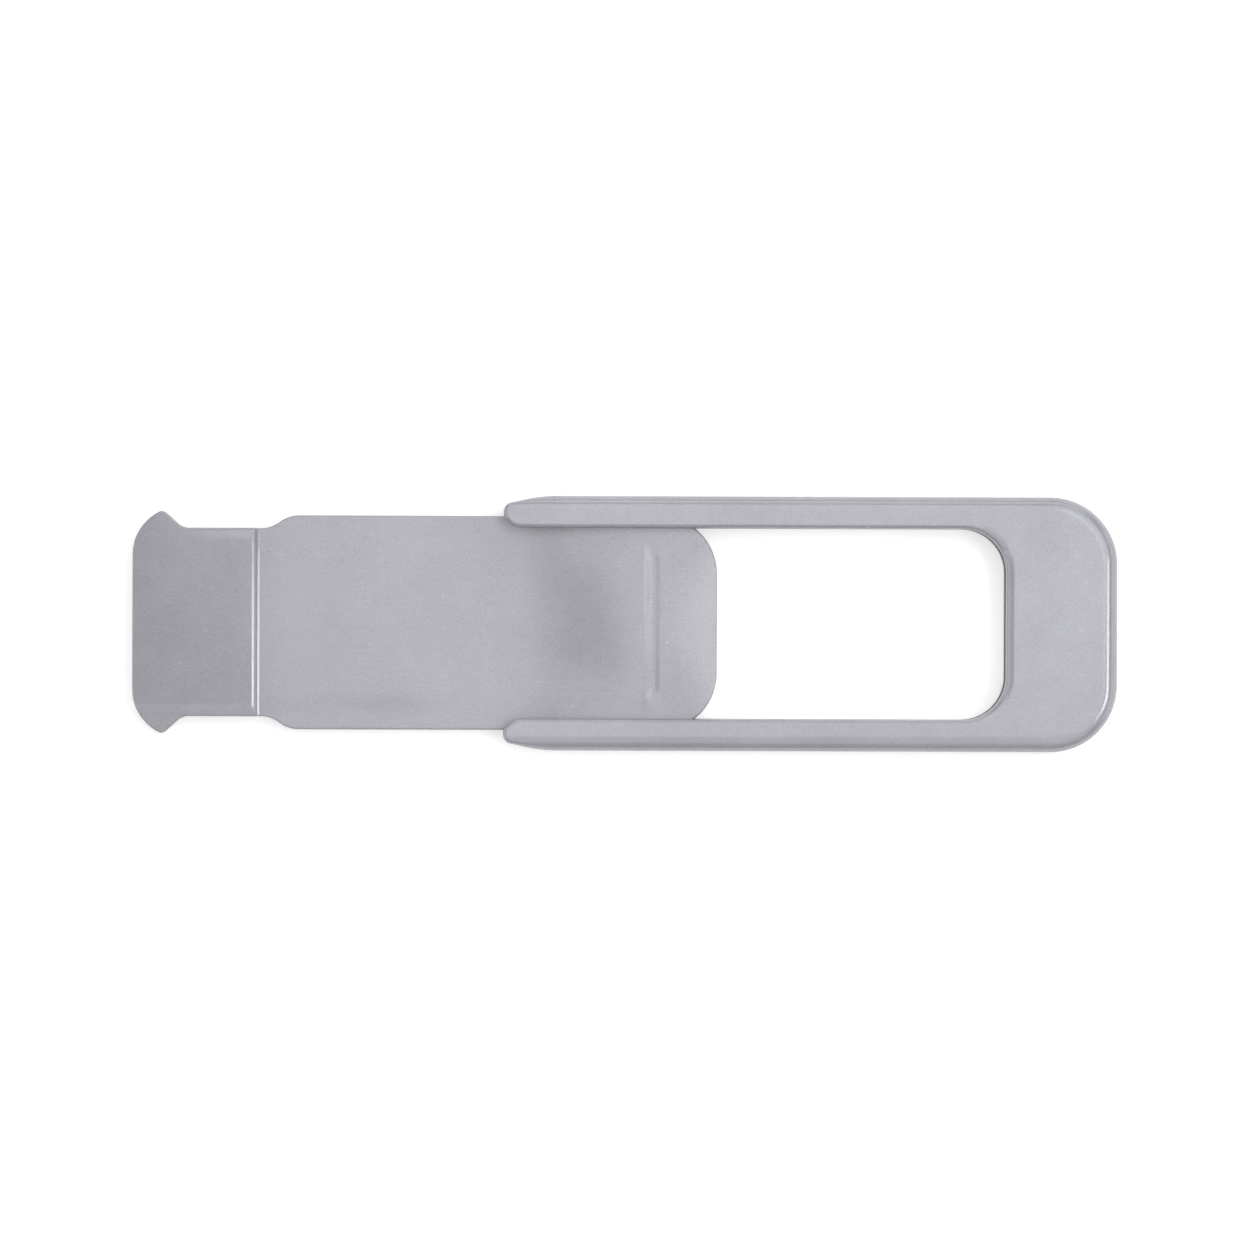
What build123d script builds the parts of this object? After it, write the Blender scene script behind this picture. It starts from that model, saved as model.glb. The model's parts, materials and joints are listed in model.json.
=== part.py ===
from build123d import *
from math import radians, tan
import os

# Sliding cover for a laptop camera: a U-shaped rail frame is stuck round the lens, and a thin
# cover slides along its grooves. Sizes are in millimetres. X runs along the rails towards the
# closed end, Z is up, and the origin is below the middle of the clear window, on the face that
# the frame is stuck to. The cover is drawn back, so the window is open.

# Rail frame
frame_length = 28.9
frame_width = 12.0
rail_width = 1.5
end_width = 5.25
frame_corner_radius = 3.15
window_corner_radius = 2.05
frame_edge_radius = 0.38
flange_thickness = 0.4
lip_thickness = 0.55

# Rounded tips of the two rails: the drops are shares of the rail's width, and the tip's radius
# is a share of the blunt end between them
nose_shoulder_run = 1.75
nose_shoulder_radius = 6.0
nose_shoulder_share = 0.27
nose_bevel_share = 0.30
nose_tip_share = 0.65
stop_angle = 42.0
stop_corner_radius = 0.8

# Sliding cover
clear_window_length = 13.6
front_reach = 2.05
plate_thickness = 0.6
plate_corner_radius = 2.7
plate_edge_radius = 0.12
lip_overlap = 0.55
front_taper = 0.14

# Pull tab
ear_length = 2.36
ear_overhang = 0.85
ear_tip_radius = 0.28
tab_corner_drop = 2.1
tab_length = 5.85
tab_drop = 0.42
tab_crown = 0.07
tab_edge_radius = 0.2
tab_foot_radius = 0.15
neck_run = 0.65
shoulder_length = 0.85
shoulder_radius = 0.6

# Raised pad on the cover, rising to a step that a fingertip catches
pad_margin = 0.3
pad_side_slope = 0.65
pad_corner_share = 0.46
pad_height = 0.06
ramp_length = 7.6
ramp_height = 0.35
step_length = 0.55
step_setback = 0.7

# Largest share of a tip's radius that the rounding of its upper edge may take
edge_limit = 0.92

# Snap stop that keeps the cover in the frame: a catch behind each front corner of the plate
catch_setback = 0.3
catch_length = 1.2
catch_ramp = 0.5
catch_depth = 0.18

# Running clearances
side_gap = 0.08
height_gap = 0.05
neck_gap = 0.06
stop_gap = 0.05
pocket_gap = 0.2

# Double-sided tape under the frame
tape_thickness = 0.15
tape_inset = 0.15

# Levels
flange_top = tape_thickness + flange_thickness
plate_bottom = flange_top + height_gap
plate_top = plate_bottom + plate_thickness
groove_height = plate_thickness + 2 * height_gap
frame_height = flange_thickness + groove_height + lip_thickness
frame_top = tape_thickness + frame_height
tab_height = frame_top - plate_bottom
pad_top = plate_top + pad_height
pad_root = plate_top - pad_height

# Half widths, from the centre line
frame_half = frame_width / 2
window_half = frame_half - rail_width
plate_half = window_half + lip_overlap
neck_half = window_half - neck_gap
ear_half = neck_half + ear_overhang
groove_half = plate_half + side_gap
relief_half = groove_half + catch_depth
pad_half = window_half - pad_margin

# Rail tip outline
stop_slope = tan(radians(stop_angle))
nose_shoulder_drop = nose_shoulder_share * rail_width
nose_bevel = nose_bevel_share * rail_width
nose_tip_radius = nose_tip_share * (rail_width - nose_shoulder_drop - nose_bevel)
rail_edge_radius = min(frame_edge_radius, edge_limit * nose_tip_radius)
ear_edge_radius = min(tab_edge_radius, edge_limit * ear_tip_radius)
pad_corner_radius = pad_corner_share * window_corner_radius

# Places along the rails
window_end_x = clear_window_length / 2
frame_end_x = window_end_x + end_width
nose_x = frame_end_x - frame_length
nose_bevel_x = nose_x + nose_bevel / stop_slope
cover_front_x = -clear_window_length / 2

# The cover is closed when its ears meet the rail tips and its front lip is in the pocket
cover_travel = clear_window_length + front_reach
pocket_end_x = cover_front_x + cover_travel + pocket_gap
ear_root_x = nose_bevel_x - cover_travel + neck_gap / stop_slope - stop_gap
ear_x = ear_root_x - ear_overhang / stop_slope
cover_back_x = ear_root_x - ear_length
tab_step_x = cover_back_x + tab_length
tab_foot_x = tab_step_x + tab_foot_radius
neck_end_x = tab_step_x + neck_run
step_end_x = cover_front_x - front_reach - step_setback
ramp_peak_x = step_end_x - step_length
ramp_start_x = ramp_peak_x - ramp_length
catch_front_x = cover_front_x - plate_corner_radius - catch_setback
catch_back_x = catch_front_x - catch_length
relief_start_x = catch_back_x - stop_gap
relief_end_x = catch_front_x + cover_travel + pocket_gap


def frame_outline():
    """The U shape of the frame, seen from above, with its rounded rail tips."""
    FilletPolyline(
        (frame_end_x, 0),
        (frame_end_x, frame_half),
        (nose_x + nose_shoulder_run, frame_half),
        (nose_x, frame_half - nose_shoulder_drop),
        (nose_x, window_half + nose_bevel),
        (nose_bevel_x, window_half),
        (window_end_x, window_half),
        (window_end_x, 0),
        radius=[
            frame_corner_radius,
            nose_shoulder_radius,
            nose_tip_radius,
            nose_tip_radius,
            stop_corner_radius,
            window_corner_radius,
        ],
    )
    mirror(about=Plane.XZ)


# Rail frame: one moulding with a groove in each rail and a pocket in the closed end
with BuildPart() as rail_frame:
    with BuildSketch(Plane.XY.offset(tape_thickness)):
        with BuildLine():
            frame_outline()
        make_face()
    extrude(amount=frame_height)
    fillet(rail_frame.faces().sort_by(Axis.Z)[-1].edges(), rail_edge_radius)

    with BuildSketch(Plane.XY.offset(flange_top)):
        with BuildLine():
            FilletPolyline(
                (nose_x, groove_half),
                (pocket_end_x, groove_half),
                (pocket_end_x, -groove_half),
                (nose_x, -groove_half),
                radius=plate_corner_radius,
            )
            Line((nose_x, -groove_half), (nose_x, groove_half))
        make_face()
        with Locations(((relief_start_x + relief_end_x) / 2, 0)):
            Rectangle(relief_end_x - relief_start_x, 2 * relief_half)
    extrude(amount=groove_height, mode=Mode.SUBTRACT)

rail_frame.part.label = "rail_frame"

# Pull tab of the cover: an eared block whose top falls away towards the fingertip
with BuildPart() as pull_tab:
    with BuildSketch(Plane.XY.offset(plate_bottom)) as tab_plan:
        with BuildLine():
            FilletPolyline(
                (tab_foot_x, neck_half),
                (ear_root_x, neck_half),
                (ear_x, ear_half),
                radius=stop_corner_radius,
            )
            tab_corner = TangentArc(
                (cover_back_x, ear_half - tab_corner_drop),
                (ear_x, ear_half),
                tangent=(0, 1),
            )
            mirror(about=Plane.XZ)
            Line(tab_corner @ 0, (cover_back_x, tab_corner_drop - ear_half))
            Line((tab_foot_x, -neck_half), (tab_foot_x, neck_half))
        make_face()
        ear_tips = tab_plan.vertices().group_by(Axis.Y)
        fillet(ear_tips[0] + ear_tips[-1], ear_tip_radius)
    extrude(amount=tab_height)
    with BuildSketch(Plane.XZ):
        with BuildLine():
            tab_top = SagittaArc(
                (cover_back_x, frame_top - tab_drop),
                (tab_step_x, frame_top),
                tab_crown,
            )
            Line(tab_top @ 1, (tab_step_x, pad_top + tab_foot_radius))
            tab_foot = CenterArc((tab_foot_x, pad_top + tab_foot_radius), tab_foot_radius, 180, 90)
            Polyline(
                tab_foot @ 1,
                (tab_foot_x, plate_bottom),
                (cover_back_x, plate_bottom),
                tab_top @ 0,
            )
        make_face()
    extrude(amount=frame_width, both=True, mode=Mode.INTERSECT)
    fillet(pull_tab.faces().sort_by(Axis.Z)[-1].edges(), ear_edge_radius)

# Raised pad of the cover: a ramp with sloping sides, which ends in a step for the fingertip
with BuildPart() as finger_pad:
    with BuildSketch(Plane.XZ):
        with BuildLine():
            Line((tab_step_x, pad_top), (ramp_start_x, pad_top))
            Spline(
                (ramp_start_x, pad_top),
                (ramp_peak_x, pad_top + ramp_height),
                tangents=[(1, 0), (1, 0)],
            )
            Polyline(
                (ramp_peak_x, pad_top + ramp_height),
                (step_end_x, plate_top),
                (step_end_x, pad_root),
                (tab_step_x, pad_root),
                (tab_step_x, pad_top),
            )
        make_face()
    extrude(amount=frame_width, both=True)
    with BuildSketch(Plane.YZ.offset(tab_step_x)):
        with BuildLine():
            Polyline(
                (-pad_half, pad_root),
                (-pad_half, plate_top),
                (-pad_half + pad_side_slope, pad_top + ramp_height),
                (pad_half - pad_side_slope, pad_top + ramp_height),
                (pad_half, plate_top),
                (pad_half, pad_root),
                close=True,
            )
        make_face()
    extrude(amount=step_end_x - tab_step_x, mode=Mode.INTERSECT)
    with BuildSketch(Plane.XY.offset(pad_root)) as pad_plan:
        with Locations(((tab_step_x + step_end_x) / 2, 0)):
            Rectangle(step_end_x - tab_step_x, 2 * pad_half)
        fillet(pad_plan.vertices().group_by(Axis.X)[-1], pad_corner_radius)
    extrude(amount=tab_height, mode=Mode.INTERSECT)

# Sliding cover: one moulding, with its plate, snap catches, pull tab and raised pad
with BuildPart() as sliding_cover:
    with BuildSketch(Plane.XY.offset(plate_bottom)):
        with BuildLine():
            FilletPolyline(
                (cover_front_x, 0),
                (cover_front_x, plate_half),
                (neck_end_x + shoulder_length, plate_half),
                (neck_end_x, neck_half),
                (ear_root_x, neck_half),
                radius=[plate_corner_radius, shoulder_radius, shoulder_radius],
            )
            mirror(about=Plane.XZ)
            Line((ear_root_x, -neck_half), (ear_root_x, neck_half))
        make_face()
        with BuildLine():
            Polyline(
                (catch_back_x, neck_half),
                (catch_back_x, plate_half + catch_depth),
                (catch_front_x - catch_ramp, plate_half + catch_depth),
                (catch_front_x, plate_half),
                (catch_front_x, neck_half),
                close=True,
            )
        catch = make_face()
        mirror(catch, about=Plane.XZ)
    extrude(amount=plate_thickness)
    fillet(sliding_cover.faces().sort_by(Axis.Z)[-1].edges(), plate_edge_radius)

    # The front lip thins towards its edge, so that it enters the pocket easily
    with BuildSketch(Plane.XZ):
        with BuildLine():
            lead_in = TangentArc(
                (step_end_x, plate_top),
                (cover_front_x, plate_top - front_taper),
                tangent=(1, 0),
            )
            Polyline(
                lead_in @ 1,
                (cover_front_x, frame_top),
                (step_end_x, frame_top),
                lead_in @ 0,
            )
        make_face()
    extrude(amount=frame_width, both=True, mode=Mode.SUBTRACT)
    add(finger_pad.part)
    add(pull_tab.part)

sliding_cover.part.label = "sliding_cover"

# Double-sided tape that holds the frame round the lens
with BuildPart() as adhesive_tape:
    with BuildSketch():
        with BuildLine():
            frame_outline()
        make_face()
        offset(amount=-tape_inset, kind=Kind.INTERSECTION)
    extrude(amount=tape_thickness)

adhesive_tape.part.label = "adhesive_tape"

os.makedirs("parts", exist_ok=True)
for piece in (rail_frame, sliding_cover, adhesive_tape):
    export_step(piece.part, f"parts/{piece.part.label}.step")

print(f"cover travel {cover_travel:.3f}, frame top {frame_top:.3f}")
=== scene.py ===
"""Webcam cover slider on a pale table: a satin grey rail frame with its cover drawn back."""

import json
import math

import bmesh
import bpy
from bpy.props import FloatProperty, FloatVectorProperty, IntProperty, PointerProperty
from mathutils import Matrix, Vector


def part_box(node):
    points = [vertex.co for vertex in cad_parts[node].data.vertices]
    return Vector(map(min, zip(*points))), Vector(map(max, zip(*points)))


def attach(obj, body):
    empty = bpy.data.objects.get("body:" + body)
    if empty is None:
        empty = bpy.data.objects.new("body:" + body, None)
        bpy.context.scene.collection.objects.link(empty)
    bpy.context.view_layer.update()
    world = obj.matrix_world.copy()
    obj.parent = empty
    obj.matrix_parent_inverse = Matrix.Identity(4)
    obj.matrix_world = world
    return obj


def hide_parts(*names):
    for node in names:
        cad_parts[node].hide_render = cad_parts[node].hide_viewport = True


bl_info = {
    "name": "Webcam Cover Slider",
    "version": (1, 0, 0),
    "blender": (4, 5, 0),
    "location": "View3D > Sidebar > Slider",
    "description": "Models the rail frame, the sliding cover and the tape of a laptop camera slider",
    "category": "Object",
}

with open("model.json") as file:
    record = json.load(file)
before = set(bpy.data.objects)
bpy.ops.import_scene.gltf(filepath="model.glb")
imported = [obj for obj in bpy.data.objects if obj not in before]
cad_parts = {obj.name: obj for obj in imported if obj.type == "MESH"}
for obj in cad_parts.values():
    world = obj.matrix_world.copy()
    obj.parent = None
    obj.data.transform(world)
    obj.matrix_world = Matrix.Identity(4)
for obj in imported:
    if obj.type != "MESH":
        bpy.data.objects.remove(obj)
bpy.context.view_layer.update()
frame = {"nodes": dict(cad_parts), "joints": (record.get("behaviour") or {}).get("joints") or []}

MM = 0.001
FRAME_LOW, FRAME_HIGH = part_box("rail_frame")
COVER_LOW, COVER_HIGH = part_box("sliding_cover")


# Sizes and colours

def length(name, description, value):
    """A length in metres, for the sidebar."""
    return FloatProperty(name=name, description=description, default=value, unit="LENGTH", precision=6)


def angle(name, description, degrees):
    """An angle, for the sidebar."""
    return FloatProperty(name=name, description=description, default=math.radians(degrees), subtype="ANGLE")


def share(name, description, value):
    """A plain number, for the sidebar."""
    return FloatProperty(name=name, description=description, default=value, precision=4)


class RailFrameSizes(bpy.types.PropertyGroup):
    """Sizes of the U-shaped rail frame."""

    rail_width: length("Rail width", "Width of one rail, seen from above", 1.5 * MM)
    end_width: length("End width", "Width of the closed end, from the window to the outer edge", 5.25 * MM)
    corner_radius: length("Corner radius", "Outer corners of the closed end", 3.15 * MM)
    window_radius: length("Window radius", "Corners of the window at the closed end", 2.05 * MM)
    shoulder_run: length("Shoulder run", "Length over which a rail tip slims", 1.75 * MM)
    shoulder_radius: length("Shoulder radius", "Rounding where a rail tip starts to slim", 6.0 * MM)
    shoulder_drop: length("Shoulder drop", "How much a rail tip slims on its outer side", 0.405 * MM)
    tip_bevel: length("Tip bevel", "How much a rail tip slims on its inner side", 0.45 * MM)
    tip_radius: length("Tip radius", "Rounding of the blunt rail tip", 0.419 * MM)
    stop_radius: length("Stop radius", "Rounding between a tip and the inside of its rail", 0.8 * MM)
    rim_width: length("Rim width", "Width of the small rounding along every upper edge", 0.15 * MM)
    rim_slope: angle("Rim slope", "Slope at which that rounding meets the top", 24.0)
    chamfer_width: length("Chamfer width", "Width of the bevel round the closed end of the window", 0.36 * MM)
    chamfer_slope: angle("Chamfer slope", "Slope of that bevel", 15.0)
    crown_width: length("Crown width", "Width over which the top falls away to the outer edge", 0.80 * MM)
    crown_slope: angle("Crown slope", "Slope that the crown would have at the outer edge", 70.0)
    flange: length("Flange", "Thickness of the wall under the groove", 0.4 * MM)
    groove_height: length("Groove height", "Height of the groove in each rail", 0.7 * MM)
    groove_reach: length("Groove reach", "Depth of the groove in each rail", 0.63 * MM)
    catch_room: length("Catch room", "Extra depth of the groove where the catches run", 0.18 * MM)
    pocket_reach: length("Pocket reach", "Depth of the pocket in the closed end", 2.25 * MM)
    pocket_radius: length("Pocket radius", "Corners of the pocket", 2.7 * MM)


class CoverSizes(bpy.types.PropertyGroup):
    """Sizes of the sliding cover."""

    plate_half: length("Half width", "Half the width of the plate", 5.05 * MM)
    plate_thickness: length("Plate thickness", "Thickness of the plate", 0.6 * MM)
    corner_radius: length("Corner radius", "Front corners of the plate", 2.7 * MM)
    neck_half: length("Half neck", "Half the width of the tab between its ears and the plate", 4.44 * MM)
    rim_width: length("Rim width", "Width of the rounded upper edge", 0.08 * MM)
    rim_height: length("Rim height", "Height of the rounded upper edge", 0.08 * MM)
    under_rim: length("Under rim", "Small rounding of the lower edge", 0.05 * MM)
    catch_gap: length("Catch setback", "Distance from the front corner to the catch", 0.3 * MM)
    catch_length: length("Catch length", "Length of the snap catch", 1.2 * MM)
    catch_ramp: length("Catch ramp", "Length of the sloping part of the catch", 0.5 * MM)
    catch_depth: length("Catch depth", "How far the catch stands out from the plate", 0.18 * MM)
    tab_length: length("Tab length", "Length of the thick pull tab", 5.85 * MM)
    neck_run: length("Neck run", "Length of the narrow plate in front of the tab", 0.65 * MM)
    shoulder_run: length("Shoulder run", "Length over which the plate widens behind its neck", 0.85 * MM)
    shoulder_radius: length("Shoulder radius", "Roundings of that shoulder", 1.3 * MM)
    ear_length: length("Ear length", "Length of the ears of the tab", 2.36 * MM)
    ear_overhang: length("Ear overhang", "How far the ears stand out", 0.85 * MM)
    ear_slant: length("Ear slant", "How far the flank of an ear slants back", 0.944 * MM)
    ear_root_radius: length("Ear root radius", "Rounding between an ear and the neck", 0.8 * MM)
    ear_tip_radius: length("Ear tip radius", "Rounding of the ear's tip", 0.28 * MM)
    ear_drop: length("Ear drop", "Width of the rounded rear corner of the tab", 2.1 * MM)
    step_back: length("Step setback", "How far before the end of the tab its step starts", 0.17 * MM)
    step_bevel: length("Step bevel", "Width of the bevels at the top and the foot of the step", 0.095 * MM)
    step_bevel_slope: angle("Step bevel slope", "Slope of those bevels", 19.5)
    step_wall: length("Step wall", "Width of the steep wall between those bevels, from above", 0.115 * MM)
    tab_drop: length("Tab drop", "How far the tab's top falls to its rear edge", 0.42 * MM)
    tab_crown: length("Tab crown", "How far the tab's top bulges along its length", 0.05 * MM)
    tab_shoulder: length("Tab shoulder", "Width of the soft shoulders along the sides of the tab", 0.62 * MM)
    shoulder_fall: length("Shoulder fall", "How far those shoulders fall to the neck", 0.10 * MM)
    side_crown: length("Side crown", "How far the drawn-out part falls away to its sides", 0.07 * MM)
    pad_height: length("Pad height", "Height of the raised pad", 0.02 * MM)
    pad_flat_half: length("Half pad", "Half the width of the flat of the pad", 3.2 * MM)
    pad_side: length("Pad side", "Width of the pad's soft sloping side", 1.20 * MM)
    dip_depth: length("Dip depth", "Depth of the shallow dip before the ramp", 0.43 * MM)
    dip_length: length("Dip length", "Length over which the plate falls into the dip", 8.0 * MM)
    dip_bow: share("Dip bow", "Part of the dip's depth that is missing at the plate's sides", 0.38)
    ramp_height: length("Ramp height", "Height of the ramp above the pad", 0.07 * MM)
    ramp_length: length("Ramp length", "Length of the ramp", 6.4 * MM)
    crest_back: length("Crest setback", "Distance from the front edge to the crest of the ramp", 3.50 * MM)
    crest_width: length("Crest width", "Width of the nearly level crest", 0.03 * MM)
    crest_fall: length("Crest fall", "Length over which the crest falls to the groove", 0.44 * MM)
    groove_depth: length("Groove depth", "Depth of the fine groove before the front lip", 0.041 * MM)
    groove_rise: length("Groove rise", "Length over which the groove rises to the front lip", 0.48 * MM)
    groove_half: length("Half groove", "Half the length of the fine groove", 3.85 * MM)
    groove_end: length("Groove end", "Length over which the groove runs out at its ends", 0.90 * MM)
    ramp_half: length("Half ramp", "Half the width of the ramp", 4.40 * MM)
    front_taper: length("Front taper", "How much the front lip thins to its edge", 0.14 * MM)


class FinishColours(bpy.types.PropertyGroup):
    """Colours of the three finishes."""

    frame_grey: FloatVectorProperty(
        name="Frame grey", description="Moulded plastic of the rail frame",
        subtype="COLOR", size=4, min=0.0, max=1.0, default=(0.418, 0.418, 0.457, 1.0),
    )
    cover_grey: FloatVectorProperty(
        name="Cover grey", description="Moulded plastic of the cover",
        subtype="COLOR", size=4, min=0.0, max=1.0, default=(0.402, 0.402, 0.44, 1.0),
    )
    tape_white: FloatVectorProperty(
        name="Tape white", description="Foam of the adhesive tape",
        subtype="COLOR", size=4, min=0.0, max=1.0, default=(0.80, 0.80, 0.78, 1.0),
    )


class StudioSettings(bpy.types.PropertyGroup):
    """The camera and lamps of the product shot."""

    view_x: length("View X", "Place that the camera looks straight down on, along the rails", -11.135 * MM)
    view_y: length("View Y", "Place that the camera looks straight down on, across the rails", -0.075 * MM)
    view_height: length("View height", "Height of the camera above the top of the frame", 170.0 * MM)
    view_width: length("View width", "Width of the picture at the top of the frame", 58.7 * MM)
    roll: angle("Roll", "Turn of the camera about its line of sight", 0.2)
    key_power: share("Key power", "Power of the large lamp overhead, in watts", 1.12)
    strip_power: share("Strip power", "Power of the narrow lamp on the right, in watts", 1.35)
    side_power: share("Side power", "Power of each low lamp at the sides, in watts", 1.2)
    corner_power: share("Corner power", "Power of the weak lamp beyond the tab, in watts", 0.035)
    lip_power: share("Lip power", "Power of the narrow lamp that the front lip mirrors, in watts", 0.08)
    front_power: share("Front power", "Power of the weak lamp at the front, in watts", 0.6)
    back_power: share("Back power", "Power of the low lamp at the back, in watts", 1.8)
    room_level: share("Room level", "Brightness of the room around the table", 0.30)
    arc_steps: IntProperty(name="Arc steps", description="Segments in a quarter of a circle", default=20)


# Modelling helpers

ALONG, ACROSS = (1.0, 0.0, 0.0), (0.0, 1.0, 0.0)
SAME_POINT = 0.001 * MM
MIRROR_SEAM = 0.002 * MM
CUT_TOLERANCE = 0.0001 * MM
SHARP_EDGE = math.radians(38.0)


def deselect_all():
    """Leaves the modelling tools with nothing to act on."""
    bpy.ops.object.select_all(action="DESELECT")


def begin_outline(name, x, y, z):
    """Starts a piece from one point, which the next lines are drawn from."""
    deselect_all()
    bpy.ops.mesh.primitive_plane_add(size=MM)
    piece = bpy.context.object
    piece.name = name
    piece.data.name = name
    bpy.ops.object.mode_set(mode="EDIT")
    bpy.ops.mesh.select_mode(type="VERT")
    bpy.ops.mesh.merge(type="CENTER")
    bpy.ops.transform.translate(value=(x, y, z))
    return piece


def pen(piece):
    """Where the selected point at the end of the outline is."""
    mesh = bmesh.from_edit_mesh(piece.data)
    return next(point.co.copy() for point in mesh.verts if point.select)


def lines_to(piece, *corners):
    """Draws straight lines from the end of the outline through the corners."""
    for x, y in corners:
        here = pen(piece)
        move = Vector((x - here.x, y - here.y, 0.0))
        bpy.ops.mesh.extrude_region_move(TRANSFORM_OT_translate={"value": move})


def arc_about(piece, x, y, angle, steps):
    """Draws an arc from the end of the outline about a centre; a positive angle turns to the left."""
    here = pen(piece)
    bpy.ops.mesh.spin(steps=steps, angle=-angle, center=(x, y, here.z), axis=(0.0, 0.0, 1.0))


def select_points(piece, wanted):
    """Selects the points for which the test holds, with the edges and faces between them."""
    bpy.ops.mesh.select_mode(type="VERT")
    bpy.ops.mesh.select_all(action="DESELECT")
    mesh = bmesh.from_edit_mesh(piece.data)
    for point in mesh.verts:
        point.select = wanted(point.co)
    mesh.select_flush_mode()
    bmesh.update_edit_mesh(piece.data)


def round_corner(piece, x, y, radius, steps):
    """Rounds one corner of a drawn outline, between the two straight lines that meet there."""
    mesh = bmesh.from_edit_mesh(piece.data)
    corner = min(mesh.verts, key=lambda point: (point.co.x - x) ** 2 + (point.co.y - y) ** 2)
    here = corner.co.copy()
    sides = [(edge.other_vert(corner).co - here).normalized() for edge in corner.link_edges]
    opening = sides[0].angle(sides[1])
    turn = math.pi - opening
    setback = radius / math.tan(opening / 2)
    segments = max(3, round(steps * turn / (math.pi / 2)))
    select_points(piece, lambda place: (place - here).length < SAME_POINT)
    bpy.ops.mesh.bevel(offset=setback, segments=segments, affect="VERTICES", profile=0.5)


def apply_modifier(piece, kind, **settings):
    """Adds a modifier with its settings and applies it."""
    modifier = piece.modifiers.new(kind.lower(), kind)
    for setting, value in settings.items():
        setattr(modifier, setting, value)
    bpy.ops.object.modifier_apply(modifier=modifier.name)


def close_outline(piece):
    """Mirrors the drawn half across the centre line and fills it with one face."""
    bpy.ops.object.mode_set(mode="OBJECT")
    apply_modifier(piece, "MIRROR", use_axis=(False, True, False), merge_threshold=MIRROR_SEAM)
    bpy.ops.object.mode_set(mode="EDIT")
    bpy.ops.mesh.select_all(action="SELECT")
    bpy.ops.mesh.edge_face_add()


def raise_face(height):
    """Extrudes the selected face upwards."""
    bpy.ops.mesh.extrude_region_move(TRANSFORM_OT_translate={"value": (0.0, 0.0, height)})


def face_outwards():
    """Turns every face of the edited piece outwards."""
    bpy.ops.mesh.select_all(action="SELECT")
    bpy.ops.mesh.normals_make_consistent(inside=False)


def select_level_face(piece, highest):
    """Selects the highest or the lowest face of the edited piece."""
    bpy.ops.mesh.select_mode(type="FACE")
    bpy.ops.mesh.select_all(action="DESELECT")
    mesh = bmesh.from_edit_mesh(piece.data)
    pick = max if highest else min
    face = pick(mesh.faces, key=lambda one: one.calc_center_median().z)
    face.select = True
    mesh.select_flush_mode()
    bmesh.update_edit_mesh(piece.data)


def inset_rim(steps):
    """Insets the selected face in steps of (width, height), which rounds the edge around it."""
    for width, height in steps:
        bpy.ops.mesh.inset(thickness=width, depth=height, use_even_offset=True)


def ellipse_rim(width, height, count):
    """Inset steps along a quarter of an ellipse, from the wall to the top."""
    angles = [math.pi / 2 * i / count for i in range(count + 1)]
    inner = [width * (1 - math.cos(angle)) for angle in angles]
    raised = [height * math.sin(angle) for angle in angles]
    return [(inner[i + 1] - inner[i], raised[i + 1] - raised[i]) for i in range(count)]


def soft_rim(width, top_slope, count):
    """Inset steps along a rounding that meets the top at a slope, which leaves a crisp line there."""
    wall_slope = math.radians(84.0)
    steps = []
    for i in range(count):
        remaining = 1 - (i + 0.5) / count
        slope = top_slope + (wall_slope - top_slope) * remaining ** 3
        steps.append((width / count, width / count * math.tan(slope)))
    return steps


def stations(start, end, spacing):
    """Evenly spaced places from start to end."""
    count = max(1, round(abs(end - start) / spacing))
    return [start + (end - start) * i / count for i in range(count + 1)]


def slice_across(piece, direction, places):
    """Cuts the edited piece with planes across one direction, which gives it more points to shape."""
    for place in places:
        bpy.ops.mesh.select_all(action="SELECT")
        point = tuple(place * part for part in direction)
        bpy.ops.mesh.bisect(plane_co=point, plane_no=direction, threshold=CUT_TOLERANCE)


def merge_close_points():
    """Merges points that the cuts left almost on top of each other."""
    bpy.ops.mesh.select_all(action="SELECT")
    bpy.ops.mesh.remove_doubles(threshold=SAME_POINT)


def lift(piece, label, height, part_at):
    """Moves points up by a part of one height; part_at gives that part, from 0 to 1, by place."""
    group = piece.vertex_groups.new(name=label)
    for point in piece.data.vertices:
        part = part_at(point.co)
        if part > 0.0:
            group.add([point.index], min(part, 1.0), "REPLACE")
    apply_modifier(piece, "DISPLACE", direction="Z", mid_level=0.0, strength=height, vertex_group=group.name)


def smooth(t):
    """Rises from 0 to 1 with level ends as t goes from 0 to 1."""
    t = max(0.0, min(1.0, t))
    return t * t * (3 - 2 * t)


def straight_slope(t):
    """Rises from 0 to 1 along a straight slope with short rounded ends as t goes from 0 to 1."""
    end = 0.2
    t = max(0.0, min(1.0, t))
    if t < end:
        return t * t / (2 * end * (1 - end))
    if t > 1 - end:
        return 1 - (1 - t) ** 2 / (2 * end * (1 - end))
    return (t - end / 2) / (1 - end)


def finish_mesh(piece):
    """Shades the piece smoothly up to its real edges, and stops the script if its skin isn't closed."""
    bpy.ops.object.mode_set(mode="EDIT")
    face_outwards()
    mesh = bmesh.from_edit_mesh(piece.data)
    open_edges = sum(len(edge.link_faces) != 2 for edge in mesh.edges)
    bpy.ops.object.mode_set(mode="OBJECT")
    if open_edges:
        raise RuntimeError(f"{piece.name} has {open_edges} edges that don't join two faces")
    bpy.ops.object.shade_smooth_by_angle(angle=SHARP_EDGE)
    apply_modifier(piece, "WEIGHTED_NORMAL", keep_sharp=True, weight=50)
    piece.vertex_groups.clear()


def place_piece(piece, body, node, material):
    """Lets the piece stand for its CAD node, move with its body and wear its finish."""
    piece.data.materials.clear()
    piece.data.materials.append(material)
    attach(piece, body)
    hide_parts(node)


# Finishes

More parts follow.
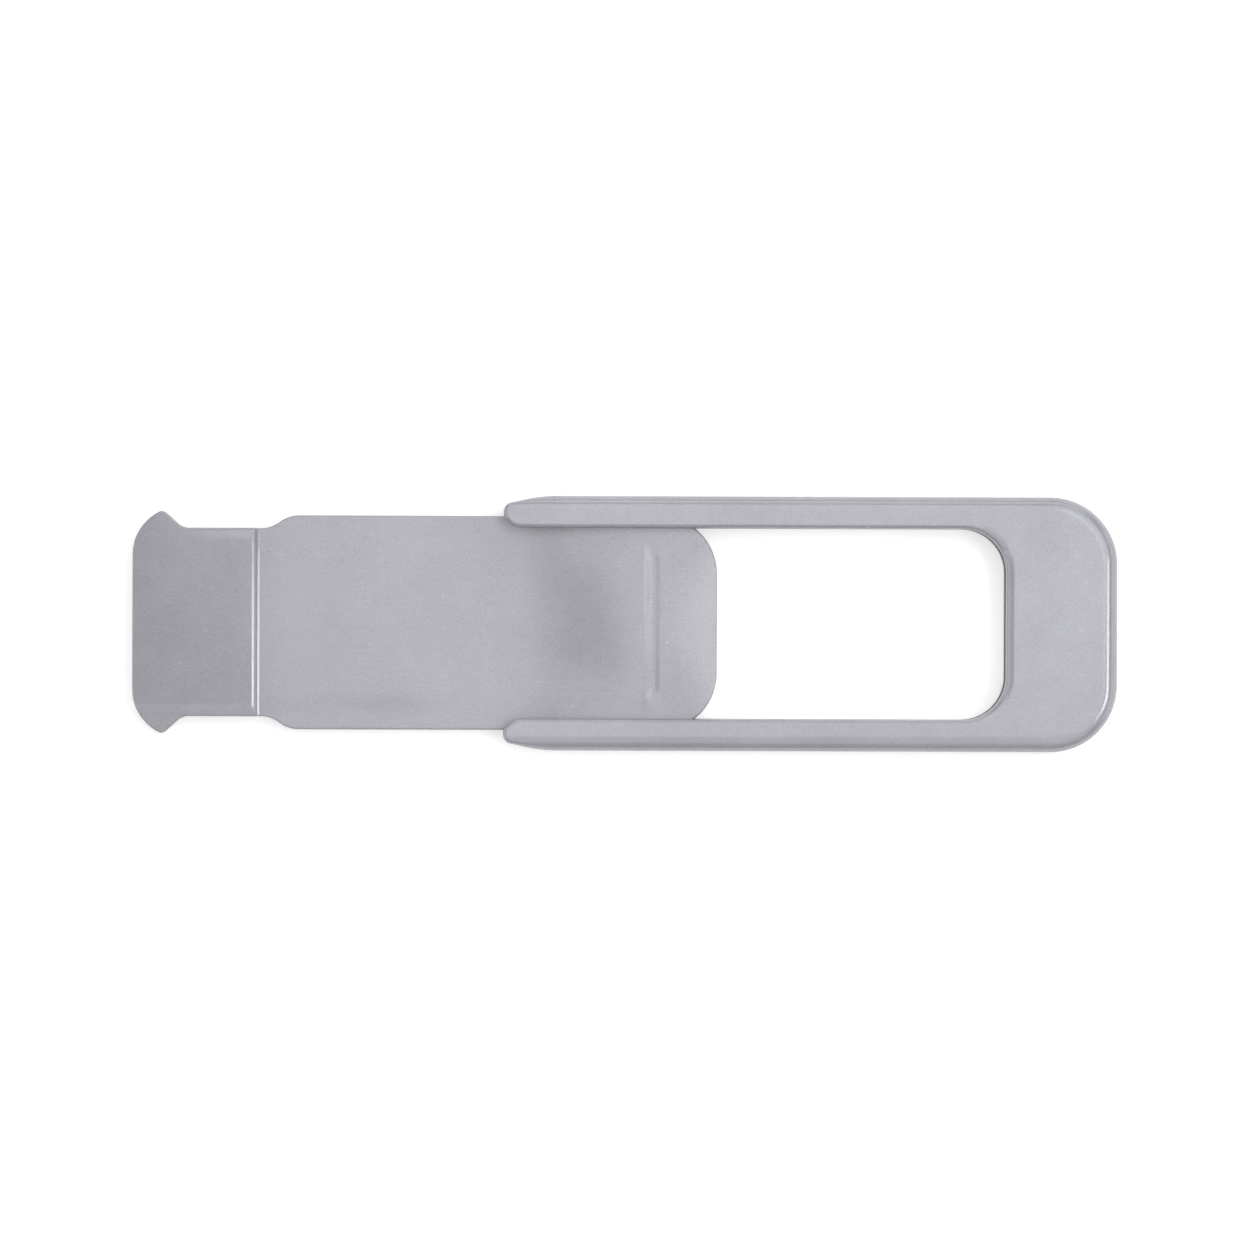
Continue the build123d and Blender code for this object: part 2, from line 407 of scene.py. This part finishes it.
# Weight of each pattern in the shade of the plastic
GRAIN_SHARE, MOTTLE_SHARE, CLOUD_SHARE = 0.66, 0.10, 0.24
# Parts of the grey at the dark and the light end of the patterns, and on a rub mark
DARK_SHADE, LIGHT_SHADE, MARK_SHADE = 0.85, 1.15, 1.10
# Roughness at the two ends of the clouds, and what a rub mark adds to it
SMOOTHEST, ROUGHEST, MARK_ROUGHNESS = 0.13, 0.18, 0.12
# Heights of the bumps
GRAIN_HEIGHT, WAVE_HEIGHT, FOAM_HEIGHT = 0.001 * MM, 0.02 * MM, 0.02 * MM
# Grain of the foam in features per metre, and the part of its white at the dark end
FOAM_SCALE, FOAM_SHADE = 16000.0, 0.80


def new_material(name, values):
    """A material with plain values on its shader; returns it with its node tree and its shader."""
    material = bpy.data.materials.new(name)
    material.use_nodes = True
    tree = material.node_tree
    shader = tree.nodes["Principled BSDF"]
    for label, value in values.items():
        shader.inputs[label].default_value = value
    return material, tree, shader


def new_group(name, inputs, outputs):
    """A shader node group with its input numbers and its outputs; returns the group and its two end nodes."""
    group = bpy.data.node_groups.new(name, "ShaderNodeTree")
    for label, value in inputs:
        socket = group.interface.new_socket(name=label, in_out="INPUT", socket_type="NodeSocketFloat")
        socket.default_value = value
    for label in outputs:
        group.interface.new_socket(name=label, in_out="OUTPUT", socket_type="NodeSocketFloat")
    return group, group.nodes.new("NodeGroupInput"), group.nodes.new("NodeGroupOutput")


def noise_node(group, places, scale, detail, roughness):
    """A noise texture on object coordinates, at a scale in features per metre."""
    node = group.nodes.new("ShaderNodeTexNoise")
    node.inputs["Detail"].default_value = detail
    node.inputs["Roughness"].default_value = roughness
    group.links.new(places, node.inputs["Vector"])
    group.links.new(scale, node.inputs["Scale"])
    return node.outputs["Fac"]


def feed(tree, socket, value):
    """Gives a socket a link from another one, or a plain value."""
    if isinstance(value, bpy.types.NodeSocket):
        tree.links.new(value, socket)
    else:
        socket.default_value = value


def combine(tree, operation, *values):
    """A math node on sockets or plain numbers."""
    node = tree.nodes.new("ShaderNodeMath")
    node.operation = operation
    for socket, value in zip(node.inputs, values):
        feed(tree, socket, value)
    return node.outputs[0]


def blend(tree, factor, first, second):
    """A mix of two colours, which are sockets or plain values."""
    node = tree.nodes.new("ShaderNodeMix")
    node.data_type = "RGBA"
    feed(tree, node.inputs["Factor"], factor)
    feed(tree, node.inputs["A"], first)
    feed(tree, node.inputs["B"], second)
    return node.outputs["Result"]


def shaded(colour, part):
    """A colour made darker or lighter."""
    return [part * value for value in colour[:3]] + [1.0]


def remap(tree, value, from_low, from_high, to_low=0.0, to_high=1.0):
    """A value moved from one range to another and kept inside it."""
    node = tree.nodes.new("ShaderNodeMapRange")
    ends = {"From Min": from_low, "From Max": from_high, "To Min": to_low, "To Max": to_high}
    for label, end in ends.items():
        node.inputs[label].default_value = end
    tree.links.new(value, node.inputs["Value"])
    return node.outputs["Result"]


def add_bump(tree, shader, height, distance):
    """Bumps the shader's surface by a height."""
    bump = tree.nodes.new("ShaderNodeBump")
    bump.inputs["Distance"].default_value = distance
    tree.links.new(height, bump.inputs["Height"])
    tree.links.new(bump.outputs["Normal"], shader.inputs["Normal"])


def use_group(tree, name, values):
    """The outputs of a shader node group, with some of its input numbers set."""
    node = tree.nodes.new("ShaderNodeGroup")
    node.node_tree = bpy.data.node_groups[name]
    for label, value in values.items():
        node.inputs[label].default_value = value
    return node.outputs


def moulded_grain_group():
    """Grain, mottling and clouds of a moulded surface as masks round one half, and its waves as a height."""
    group, start, end = new_group(
        "Moulded grain",
        [("Grain scale", 19000.0), ("Mottle scale", 2600.0), ("Cloud scale", 330.0), ("Wave scale", 240.0)],
        ["Grain", "Mottle", "Cloud", "Height"],
    )
    places = group.nodes.new("ShaderNodeTexCoord").outputs["Object"]
    grain = noise_node(group, places, start.outputs["Grain scale"], 1.0, 0.5)
    mottle = noise_node(group, places, start.outputs["Mottle scale"], 3.0, 0.6)
    cloud = noise_node(group, places, start.outputs["Cloud scale"], 4.0, 0.6)
    wave = noise_node(group, places, start.outputs["Wave scale"], 1.0, 0.4)
    group.links.new(remap(group, grain, 0.3, 0.7), end.inputs["Grain"])
    group.links.new(remap(group, mottle, 0.35, 0.65), end.inputs["Mottle"])
    group.links.new(remap(group, cloud, 0.35, 0.65), end.inputs["Cloud"])
    rough = combine(group, "MULTIPLY", grain, GRAIN_HEIGHT)
    height = combine(group, "MULTIPLY_ADD", wave, WAVE_HEIGHT, rough)
    group.links.new(height, end.inputs["Height"])
    return group


def scuff_group():
    """Small light rub marks in a few patches, as a mask that is 1 on a mark."""
    inputs = [("Mark scale", 3800.0), ("Patch scale", 300.0), ("Spread", 0.0)]
    group, start, end = new_group("Scuffs", inputs, ["Marks"])
    places = group.nodes.new("ShaderNodeTexCoord").outputs["Object"]
    stretch = group.nodes.new("ShaderNodeMapping")
    stretch.inputs["Rotation"].default_value = (0.0, 0.0, math.radians(62.0))
    stretch.inputs["Scale"].default_value = (0.5, 1.4, 1.0)
    group.links.new(places, stretch.inputs["Vector"])
    flecks = noise_node(group, stretch.outputs["Vector"], start.outputs["Mark scale"], 2.0, 0.6)
    patches = noise_node(group, places, start.outputs["Patch scale"], 2.0, 0.5)
    thin = remap(group, flecks, 0.60, 0.74)
    spread = combine(group, "ADD", patches, start.outputs["Spread"])
    placed = remap(group, spread, 0.56, 0.68)
    group.links.new(combine(group, "MULTIPLY", thin, placed), end.inputs["Marks"])
    return group


def moulded_plastic(name, grey, spread):
    """Satin plastic: grain, mottling and clouds in its grey, slow waves, and rub marks by their spread."""
    material, tree, shader = new_material(name, {"Metallic": 0.2})
    grain = use_group(tree, "Moulded grain", {})
    marks = use_group(tree, "Scuffs", {"Spread": spread})["Marks"]

    shade = combine(tree, "MULTIPLY", grain["Grain"], GRAIN_SHARE)
    shade = combine(tree, "MULTIPLY_ADD", grain["Mottle"], MOTTLE_SHARE, shade)
    shade = combine(tree, "MULTIPLY_ADD", grain["Cloud"], CLOUD_SHARE, shade)
    tint = blend(tree, shade, shaded(grey, DARK_SHADE), shaded(grey, LIGHT_SHADE))
    marked = blend(tree, marks, tint, shaded(grey, MARK_SHADE))
    tree.links.new(marked, shader.inputs["Base Color"])

    gloss = remap(tree, grain["Cloud"], 0.0, 1.0, SMOOTHEST, ROUGHEST)
    gloss = combine(tree, "MULTIPLY_ADD", marks, MARK_ROUGHNESS, gloss)
    tree.links.new(gloss, shader.inputs["Roughness"])
    add_bump(tree, shader, grain["Height"], 1.0)
    return material


# Rail frame

TIP_SLANT = math.radians(42.0)
# Room for the catches beyond the two ends of their travel
ROOM_BEHIND, ROOM_AHEAD = 0.05 * MM, 0.25 * MM
RIM_STEPS, CHAMFER_STEPS, POCKET_STEPS = 8, 4, 16


def draw_rail_frame(size, arc_steps):
    """Draws the U of the frame from above: half of it from the closed end round a rail tip to the window."""
    half = FRAME_HIGH.y
    window_half = half - size.rail_width
    window_x = FRAME_HIGH.x - size.end_width
    tip_x = FRAME_LOW.x
    stop_x = tip_x + size.tip_bevel / math.tan(TIP_SLANT)
    corners = [
        (FRAME_HIGH.x, half, size.corner_radius),
        (tip_x + size.shoulder_run, half, size.shoulder_radius),
        (tip_x, half - size.shoulder_drop, size.tip_radius),
        (tip_x, window_half + size.tip_bevel, size.tip_radius),
        (stop_x, window_half, size.stop_radius),
        (window_x, window_half, size.window_radius),
    ]
    piece = begin_outline("slider_rail_frame", FRAME_HIGH.x, 0.0, FRAME_LOW.z)
    lines_to(piece, *[(x, y) for x, y, radius in corners], (window_x, 0.0))
    for x, y, radius in corners:
        round_corner(piece, x, y, radius, arc_steps)
    close_outline(piece)
    return piece


def depth_inside_frame(size, place):
    """Distance of a place from the frame's outer outline, seen from above."""
    along = FRAME_HIGH.x - size.corner_radius
    across = FRAME_HIGH.y - size.corner_radius
    if place.x > along and abs(place.y) > across:
        return size.corner_radius - math.hypot(place.x - along, abs(place.y) - across)
    return min(FRAME_HIGH.y - abs(place.y), FRAME_HIGH.x - place.x)


def crown_fall(size, depth):
    """How far the frame's top has fallen at a distance from its outer edge."""
    steps = 24
    start = max(depth, size.rim_width)
    width = (size.crown_width - start) / steps
    fall = 0.0
    for i in range(steps):
        left = 1 - (start + (i + 0.5) * width) / size.crown_width
        fall += width * math.tan(size.crown_slope * left ** 2)
    edge_slope = math.tan(size.crown_slope * (1 - size.rim_width / size.crown_width) ** 2)
    return fall + edge_slope * max(0.0, size.rim_width - depth)


def chamfer_fall(size, place):
    """How far the bevel round the closed end of the window has fallen at a place; it fades to the rails."""
    centre_x = FRAME_HIGH.x - size.end_width - size.window_radius
    centre_y = FRAME_HIGH.y - size.rail_width - size.window_radius
    along = place.x - centre_x
    reach = math.hypot(along, max(0.0, abs(place.y) - centre_y))
    left = size.chamfer_width - (reach - size.window_radius)
    if along <= 0.0 or left <= 0.0:
        return 0.0
    return math.tan(size.chamfer_slope) * left * (along / reach) ** 2


def cut_groove(piece, size):
    """Cuts the groove of both rails, the room for the catches and the pocket out of the frame in one go."""
    groove_half = FRAME_HIGH.y - size.rail_width + size.groove_reach
    catch_half = groove_half + size.catch_room
    pocket_x = FRAME_HIGH.x - size.end_width + size.pocket_reach
    cover = bpy.context.scene.slider_cover
    travel = frame["joints"][0]["range_m"][1]
    catch_front = COVER_HIGH.x - cover.corner_radius - cover.catch_gap
    room_start = catch_front - cover.catch_length - ROOM_BEHIND
    room_end = catch_front + travel + ROOM_AHEAD
    tool = begin_outline("groove_tool", FRAME_LOW.x - MM, 0.0, FRAME_LOW.z + size.flange)
    lines_to(
        tool,
        (FRAME_LOW.x - MM, groove_half),
        (room_start, groove_half),
        (room_start, catch_half),
        (room_end, catch_half),
        (room_end, groove_half),
        (pocket_x, groove_half),
        (pocket_x, 0.0),
    )
    round_corner(tool, pocket_x, groove_half, size.pocket_radius, POCKET_STEPS)
    close_outline(tool)
    raise_face(size.groove_height)
    face_outwards()
    bpy.ops.object.mode_set(mode="OBJECT")
    deselect_all()
    piece.select_set(True)
    bpy.context.view_layer.objects.active = piece
    apply_modifier(piece, "BOOLEAN", operation="DIFFERENCE", solver="EXACT", object=tool)
    bpy.data.objects.remove(tool)


class SLIDER_OT_rail_frame(bpy.types.Operator):
    """Model the U-shaped rail frame with its soft rounded edges, grooves and pocket"""

    bl_idname = "slider.rail_frame"
    bl_label = "Rail Frame"

    def execute(self, context):
        size = context.scene.slider_frame
        studio = context.scene.slider_studio
        piece = draw_rail_frame(size, studio.arc_steps)
        rim = soft_rim(size.rim_width, size.rim_slope, RIM_STEPS)
        rim_height = sum(height for width, height in rim)
        raise_face(FRAME_HIGH.z - FRAME_LOW.z - rim_height)
        face_outwards()
        select_level_face(piece, highest=True)
        ring = ((size.chamfer_width - size.rim_width) / CHAMFER_STEPS, 0.0)
        inset_rim(rim + [ring] * CHAMFER_STEPS)

        fine, coarse, margin = 0.06 * MM, 0.3 * MM, 0.03 * MM
        corner_x = FRAME_HIGH.x - size.corner_radius
        corner_y = FRAME_HIGH.y - size.corner_radius
        edge_y = FRAME_HIGH.y - size.chamfer_width - margin
        edge_x = FRAME_HIGH.x - size.chamfer_width - margin
        bend_x = FRAME_HIGH.x - size.end_width - size.window_radius
        rail_places = stations(corner_y, edge_y, fine)
        slice_across(piece, ACROSS, [-y for y in rail_places] + rail_places)
        slice_across(piece, ALONG, stations(corner_x, edge_x, fine))
        slice_across(piece, ALONG, stations(bend_x, corner_x - 0.2 * MM, coarse))
        merge_close_points()
        bpy.ops.object.mode_set(mode="OBJECT")

        full_fall = crown_fall(size, 0.0)
        floor_z = FRAME_LOW.z + 0.01 * MM

        def crown(place):
            depth = depth_inside_frame(size, place)
            if place.z < floor_z or depth > size.crown_width:
                return 0.0
            return crown_fall(size, depth) / full_fall

        def chamfer(place):
            return chamfer_fall(size, place) / full_fall if place.z > floor_z else 0.0

        lift(piece, "crown", -full_fall, crown)
        lift(piece, "chamfer", -full_fall, chamfer)
        cut_groove(piece, size)
        finish_mesh(piece)
        grey = context.scene.slider_finish.frame_grey
        plastic = moulded_plastic("frame_satin_plastic", grey, spread=0.0)
        place_piece(piece, "frame", "rail_frame", plastic)
        return {"FINISHED"}


# Sliding cover

REAR_ARC_STEPS, UPPER_RIM_STEPS, UNDER_RIM_STEPS = 12, 6, 2


def draw_cover(size, arc_steps):
    """Draws the cover from above: half of it from the front edge past catch and ear to the rear edge."""
    front_x = COVER_HIGH.x
    rear_x = COVER_LOW.x
    ear_root_x = rear_x + size.ear_length
    ear_x = ear_root_x - size.ear_slant
    ear_y = size.neck_half + size.ear_overhang
    neck_x = rear_x + size.tab_length + size.neck_run
    catch_front = front_x - size.corner_radius - size.catch_gap
    catch_back = catch_front - size.catch_length
    catch_y = size.plate_half + size.catch_depth
    piece = begin_outline("slider_cover", front_x, 0.0, COVER_LOW.z + size.under_rim)
    lines_to(
        piece,
        (front_x, size.plate_half),
        (catch_front, size.plate_half),
        (catch_front - size.catch_ramp, catch_y),
        (catch_back, catch_y),
        (catch_back, size.plate_half),
        (neck_x + size.shoulder_run, size.plate_half),
        (neck_x, size.neck_half),
        (ear_root_x, size.neck_half),
        (ear_x, ear_y),
    )
    run = ear_x - rear_x
    radius = (run ** 2 + size.ear_drop ** 2) / (2 * run)
    sweep = math.asin(size.ear_drop / radius)
    arc_about(piece, rear_x + radius, ear_y - size.ear_drop, sweep, REAR_ARC_STEPS)
    lines_to(piece, (rear_x, 0.0))
    round_corner(piece, front_x, size.plate_half, size.corner_radius, arc_steps)
    round_corner(piece, neck_x + size.shoulder_run, size.plate_half, size.shoulder_radius, arc_steps)
    round_corner(piece, neck_x, size.neck_half, size.shoulder_radius, arc_steps)
    round_corner(piece, ear_root_x, size.neck_half, size.ear_root_radius, arc_steps)
    round_corner(piece, ear_x, ear_y, size.ear_tip_radius, arc_steps)
    close_outline(piece)
    return piece


def crest_places(size):
    """Where the crest starts, where it starts to fall, and where the front lip starts."""
    crest_x = COVER_HIGH.x - size.crest_back
    fall_x = crest_x + size.crest_width
    return crest_x, fall_x, fall_x + size.crest_fall


def cover_places(size):
    """Places of the cuts along the cover, close together where its top bends."""
    crest_x, fall_x, lip_x = crest_places(size)
    groove_x = lip_x + size.groove_rise
    step = step_places(size)
    rounding = 0.012 * MM
    places = stations(COVER_LOW.x + 0.3 * MM, step[0] - 0.1 * MM, 0.25 * MM)
    places += [x + shift for x in step for shift in (-rounding, 0.0, rounding)]
    stretches = (
        (step[-1] + 0.1 * MM, crest_x - 1.0 * MM, 0.25 * MM),
        (crest_x - 0.9 * MM, crest_x - 0.1 * MM, 0.1 * MM),
        (crest_x, fall_x, 0.05 * MM),
        (fall_x + 0.02 * MM, lip_x - 0.02 * MM, 0.023 * MM),
        (lip_x, groove_x, 0.04 * MM),
        (groove_x + 0.1 * MM, COVER_HIGH.x - 0.3 * MM, 0.15 * MM),
    )
    for start, end, spacing in stretches:
        places += stations(start, end, spacing)
    return places


def cover_side_places(size):
    """Places of the cuts along one side, close together on the tab's shoulders and at the groove's end."""
    inner_y = size.neck_half - size.tab_shoulder
    return (
        stations(inner_y - 0.8 * MM, inner_y - 0.1 * MM, 0.1 * MM)
        + stations(inner_y, size.ramp_half, 0.055 * MM)
        + stations(size.ramp_half + 0.05 * MM, size.plate_half - 0.2 * MM, 0.09 * MM)
    )


def step_places(size):
    """Where the tab's step starts, turns into its wall, leaves the wall and meets the plate."""
    edge_x = COVER_LOW.x + size.tab_length - size.step_back
    wall_x = edge_x + size.step_bevel
    wall_end_x = wall_x + size.step_wall
    return edge_x, wall_x, wall_end_x, wall_end_x + size.step_bevel


def tab_rise_part(size, place):
    """Part of the tab's height at a place: 1 on the tab, 0 on the plate, and the step between them."""
    edge_x, wall_x, wall_end_x, foot_x = step_places(size)
    bevel = size.step_bevel * math.tan(size.step_bevel_slope) / tab_rise(size)
    if place.x <= edge_x:
        return 1.0
    if place.x <= wall_x:
        return 1.0 - bevel * (place.x - edge_x) / size.step_bevel
    if place.x <= wall_end_x:
        return 1.0 - bevel - (1.0 - 2 * bevel) * (place.x - wall_x) / size.step_wall
    return max(0.0, bevel * (foot_x - place.x) / size.step_bevel)


def tab_rise(size):
    """Height of the tab's step above the pad."""
    return FRAME_HIGH.z - COVER_LOW.z - size.plate_thickness - size.pad_height


def shape_cover(piece, size):
    """Raises tab, pad and ramp out of the flat plate, and lowers its dip, groove, front lip and sides."""
    step_x = COVER_LOW.x + size.tab_length
    crest_x, fall_x, lip_x = crest_places(size)
    ramp_x = crest_x - size.ramp_length
    side_fade = 3 * MM
    under_z = COVER_LOW.z + 2 * size.under_rim
    ear_part = 1 + size.ear_overhang / size.tab_shoulder

    def on_top(part_at):
        return lambda place: part_at(place) if place.z > under_z else 0.0

    def pad_side(place):
        return 1 - smooth((abs(place.y) - size.pad_flat_half) / size.pad_side)

    def pad(place):
        return pad_side(place) * (1 - straight_slope((place.x - fall_x) / size.crest_fall))

    def tab_base(place):
        return 1.0 - pad_side(place) if place.x < step_x else 0.0

    def rise(run):
        """Starts level and still rises a little at the crest."""
        run = max(0.0, min(1.0, run))
        return (2 * smooth(run) + run * run) / 3

    def ramp(place):
        side = 1 - min(1.0, abs(place.y) / size.ramp_half) ** 2
        ahead = (place.x - fall_x) / (COVER_HIGH.x - fall_x)
        return rise((place.x - ramp_x) / size.ramp_length) * side * side * (1 - smooth(ahead))

    def dip(place):
        fall = smooth((place.x - ramp_x + size.dip_length) / size.dip_length)
        bow = 1 - size.dip_bow * (place.y / size.plate_half) ** 2
        return fall * bow * (1 - rise((place.x - ramp_x) / size.ramp_length))

    def groove(place):
        fall = straight_slope((place.x - fall_x) / size.crest_fall)
        rise_part = smooth((place.x - lip_x) / size.groove_rise)
        end_part = smooth((abs(place.y) - size.groove_half + size.groove_end) / size.groove_end)
        return fall * (1 - rise_part) * (1 - end_part)

    def lip(place):
        run = (place.x - lip_x) / (COVER_HIGH.x - lip_x)
        return max(0.0, run) ** 2

    def slope(place):
        run = max(0.0, (step_x - place.x) / size.tab_length)
        bulge = 4 * run * (1 - run) * size.tab_crown / size.tab_drop
        return max(0.0, run - bulge)

    def shoulders(place):
        run = (abs(place.y) - size.neck_half + size.tab_shoulder) / size.tab_shoulder
        part = max(0.0, run) ** 2 if run < 1 else run
        return part / ear_part * tab_rise_part(size, place)

    def sides(place):
        fade = 1 - smooth((place.x - ramp_x) / side_fade)
        return (place.y / size.plate_half) ** 2 * fade

    lift(piece, "pad", size.pad_height, on_top(pad))
    lift(piece, "tab base", size.pad_height, on_top(tab_base))
    lift(piece, "tab", tab_rise(size), on_top(lambda place: tab_rise_part(size, place)))
    lift(piece, "ramp", size.ramp_height, on_top(ramp))
    lift(piece, "dip", -size.dip_depth, on_top(dip))
    lift(piece, "groove", -size.groove_depth, on_top(groove))
    lift(piece, "lip", -size.front_taper, on_top(lip))
    lift(piece, "slope", -size.tab_drop, on_top(slope))
    lift(piece, "shoulders", -size.shoulder_fall * ear_part, on_top(shoulders))
    lift(piece, "sides", -size.side_crown, on_top(sides))


class SLIDER_OT_cover(bpy.types.Operator):
    """Model the sliding cover with its pull tab, pad, dip, ramp, fine groove and snap catches"""

    bl_idname = "slider.cover"
    bl_label = "Sliding Cover"

    def execute(self, context):
        size = context.scene.slider_cover
        studio = context.scene.slider_studio
        piece = draw_cover(size, studio.arc_steps)
        raise_face(size.plate_thickness - size.rim_height - size.under_rim)
        face_outwards()
        select_level_face(piece, highest=True)
        ring = (0.04 * MM, 0.0)
        inset_rim(ellipse_rim(size.rim_width, size.rim_height, UPPER_RIM_STEPS) + [ring] * 2)
        select_level_face(piece, highest=False)
        inset_rim(ellipse_rim(size.under_rim, size.under_rim, UNDER_RIM_STEPS))
        slice_across(piece, ALONG, cover_places(size))
        side_places = cover_side_places(size)
        middle_y = side_places[0] - 0.2 * MM
        middle_places = stations(-middle_y, middle_y, 0.3 * MM)
        slice_across(piece, ACROSS, [-y for y in side_places] + middle_places + side_places)
        merge_close_points()
        bpy.ops.object.mode_set(mode="OBJECT")
        shape_cover(piece, size)
        finish_mesh(piece)
        grey = context.scene.slider_finish.cover_grey
        plastic = moulded_plastic("cover_satin_plastic", grey, spread=0.03)
        place_piece(piece, "cover", "sliding_cover", plastic)
        return {"FINISHED"}


# Adhesive tape

class SLIDER_OT_tape(bpy.types.Operator):
    """Give the adhesive tape under the frame its foam finish"""

    bl_idname = "slider.tape"
    bl_label = "Adhesive Tape"

    def execute(self, context):
        white = context.scene.slider_finish.tape_white
        material, tree, shader = new_material("foam_tape", {"Roughness": 0.9})
        foam = use_group(tree, "Moulded grain", {"Grain scale": FOAM_SCALE})["Grain"]
        tree.links.new(blend(tree, foam, shaded(white, FOAM_SHADE), white), shader.inputs["Base Color"])
        add_bump(tree, shader, foam, FOAM_HEIGHT)
        tape = frame["nodes"]["adhesive_tape"]
        tape.data.materials.clear()
        tape.data.materials.append(material)
        return {"FINISHED"}


# Table, lamps and camera

TABLE_WIDTH = 3.0
TABLE_WHITE, TABLE_GLOW = (0.80, 0.80, 0.80, 1.0), (0.5, 0.5, 0.5, 1.0)
BLACK = (0.0, 0.0, 0.0, 1.0)

# Name, place, width and depth in metres, setting for the power, turn in degrees, and whether the lamp
# faces the middle of the picture; the others face straight down
LAMPS = (
    ("key_lamp", (0.122, 0.231, 0.60), 0.59, 0.50, "key_power", 15.0, False),
    ("strip_lamp", (0.33, 0.08, 0.60), 0.18, 0.45, "strip_power", 0.0, False),
    ("left_lamp", (-0.75, 0.0, 0.35), 1.00, 0.35, "side_power", 0.0, True),
    ("right_lamp", (0.85, 0.0, 0.30), 1.00, 0.35, "side_power", 0.0, True),
    ("corner_lamp", (-0.18, 0.18, 0.60), 0.06, 0.34, "corner_power", 0.0, False),
    ("lip_lamp", (0.136, 0.05, 0.59), 0.06, 0.36, "lip_power", 0.0, False),
    ("front_lamp", (0.10, -0.28, 0.60), 0.90, 0.42, "front_power", 0.0, False),
    ("back_lamp", (0.10, 0.85, 0.40), 1.20, 0.45, "back_power", 0.0, True),
)


def table_material():
    """White table top: the camera and reflections see it nearly white, and it keeps soft shadows."""
    values = {"Base Color": TABLE_WHITE, "Roughness": 0.9, "Specular IOR Level": 0.0}
    material, tree, shader = new_material("white_table", values | {"Emission Strength": 1.0})
    rays = tree.nodes.new("ShaderNodeLightPath").outputs
    seen = combine(tree, "MAXIMUM", rays["Is Camera Ray"], rays["Is Glossy Ray"])
    seen = combine(tree, "MAXIMUM", seen, rays["Is Transmission Ray"])
    tree.links.new(blend(tree, seen, BLACK, TABLE_GLOW), shader.inputs["Emission Color"])
    return material


def add_lamp(name, place, target, width, depth, power, turn):
    """A rectangular lamp that faces a target and is turned about its own line of sight."""
    deselect_all()
    bpy.ops.object.light_add(type="AREA", location=place)
    lamp = bpy.context.object
    lamp.name = name
    lamp.rotation_euler = (Vector(target) - Vector(place)).to_track_quat("-Z", "Y").to_euler()
    lamp.rotation_euler.rotate_axis("Z", turn)
    lamp.data.shape = "RECTANGLE"
    lamp.data.size = width
    lamp.data.size_y = depth
    lamp.data.energy = power


def room_light(level):
    """An even pale room around the table."""
    world = bpy.data.worlds.new("room")
    world.use_nodes = True
    shade = world.node_tree.nodes["Background"]
    shade.inputs["Color"].default_value = (level, level, level, 1.0)
    shade.inputs["Strength"].default_value = 1.0
    bpy.context.scene.world = world


class SLIDER_OT_stage(bpy.types.Operator):
    """Set up the white table, the lamps and the camera that looks straight down"""

    bl_idname = "slider.stage"
    bl_label = "Table, Lamps and Camera"

    def execute(self, context):
        studio = context.scene.slider_studio
        deselect_all()
        bpy.ops.mesh.primitive_plane_add(size=TABLE_WIDTH, location=(0.0, 0.0, 0.0))
        table = context.object
        table.name = "table"
        table.data.materials.append(table_material())

        middle = (studio.view_x, studio.view_y, 0.0)
        for name, place, width, depth, power, turn, faces_middle in LAMPS:
            target = middle if faces_middle else (place[0], place[1], 0.0)
            add_lamp(name, place, target, width, depth, getattr(studio, power), math.radians(turn))
        room_light(studio.room_level)

        top_z = FRAME_HIGH.z
        deselect_all()
        bpy.ops.object.camera_add(
            location=(studio.view_x, studio.view_y, top_z + studio.view_height),
            rotation=(0.0, 0.0, studio.roll),
        )
        camera = context.object
        camera.name = "camera"
        camera.data.sensor_width = 36.0
        camera.data.lens = camera.data.sensor_width * studio.view_height / studio.view_width
        camera.data.clip_start = 0.01
        camera.data.clip_end = 10.0
        context.scene.camera = camera
        context.scene.view_settings.view_transform = "Standard"
        return {"FINISHED"}


# Sidebar

STEPS = ("slider.stage", "slider.rail_frame", "slider.cover", "slider.tape")


class SLIDER_PT_panel(bpy.types.Panel):
    """Lists the steps and the sizes of the slider."""

    bl_idname = "SLIDER_PT_panel"
    bl_label = "Webcam Cover Slider"
    bl_space_type = "VIEW_3D"
    bl_region_type = "UI"
    bl_category = "Slider"

    def draw(self, context):
        for step in STEPS:
            self.layout.operator(step)
        scene = context.scene
        for settings in (scene.slider_frame, scene.slider_cover, scene.slider_finish, scene.slider_studio):
            box = self.layout.box()
            for name in settings.__annotations__:
                box.prop(settings, name)


CLASSES = (
    RailFrameSizes,
    CoverSizes,
    FinishColours,
    StudioSettings,
    SLIDER_OT_rail_frame,
    SLIDER_OT_cover,
    SLIDER_OT_tape,
    SLIDER_OT_stage,
    SLIDER_PT_panel,
)


def register():
    for one in CLASSES:
        bpy.utils.register_class(one)
    bpy.types.Scene.slider_frame = PointerProperty(type=RailFrameSizes)
    bpy.types.Scene.slider_cover = PointerProperty(type=CoverSizes)
    bpy.types.Scene.slider_finish = PointerProperty(type=FinishColours)
    bpy.types.Scene.slider_studio = PointerProperty(type=StudioSettings)


def unregister():
    del bpy.types.Scene.slider_studio
    del bpy.types.Scene.slider_finish
    del bpy.types.Scene.slider_cover
    del bpy.types.Scene.slider_frame
    for one in reversed(CLASSES):
        bpy.utils.unregister_class(one)


def main():
    """Builds the stage and every piece."""
    register()
    moulded_grain_group()
    scuff_group()
    bpy.ops.slider.stage()
    bpy.ops.slider.rail_frame()
    bpy.ops.slider.cover()
    bpy.ops.slider.tape()


if __name__ == "__main__":
    main()
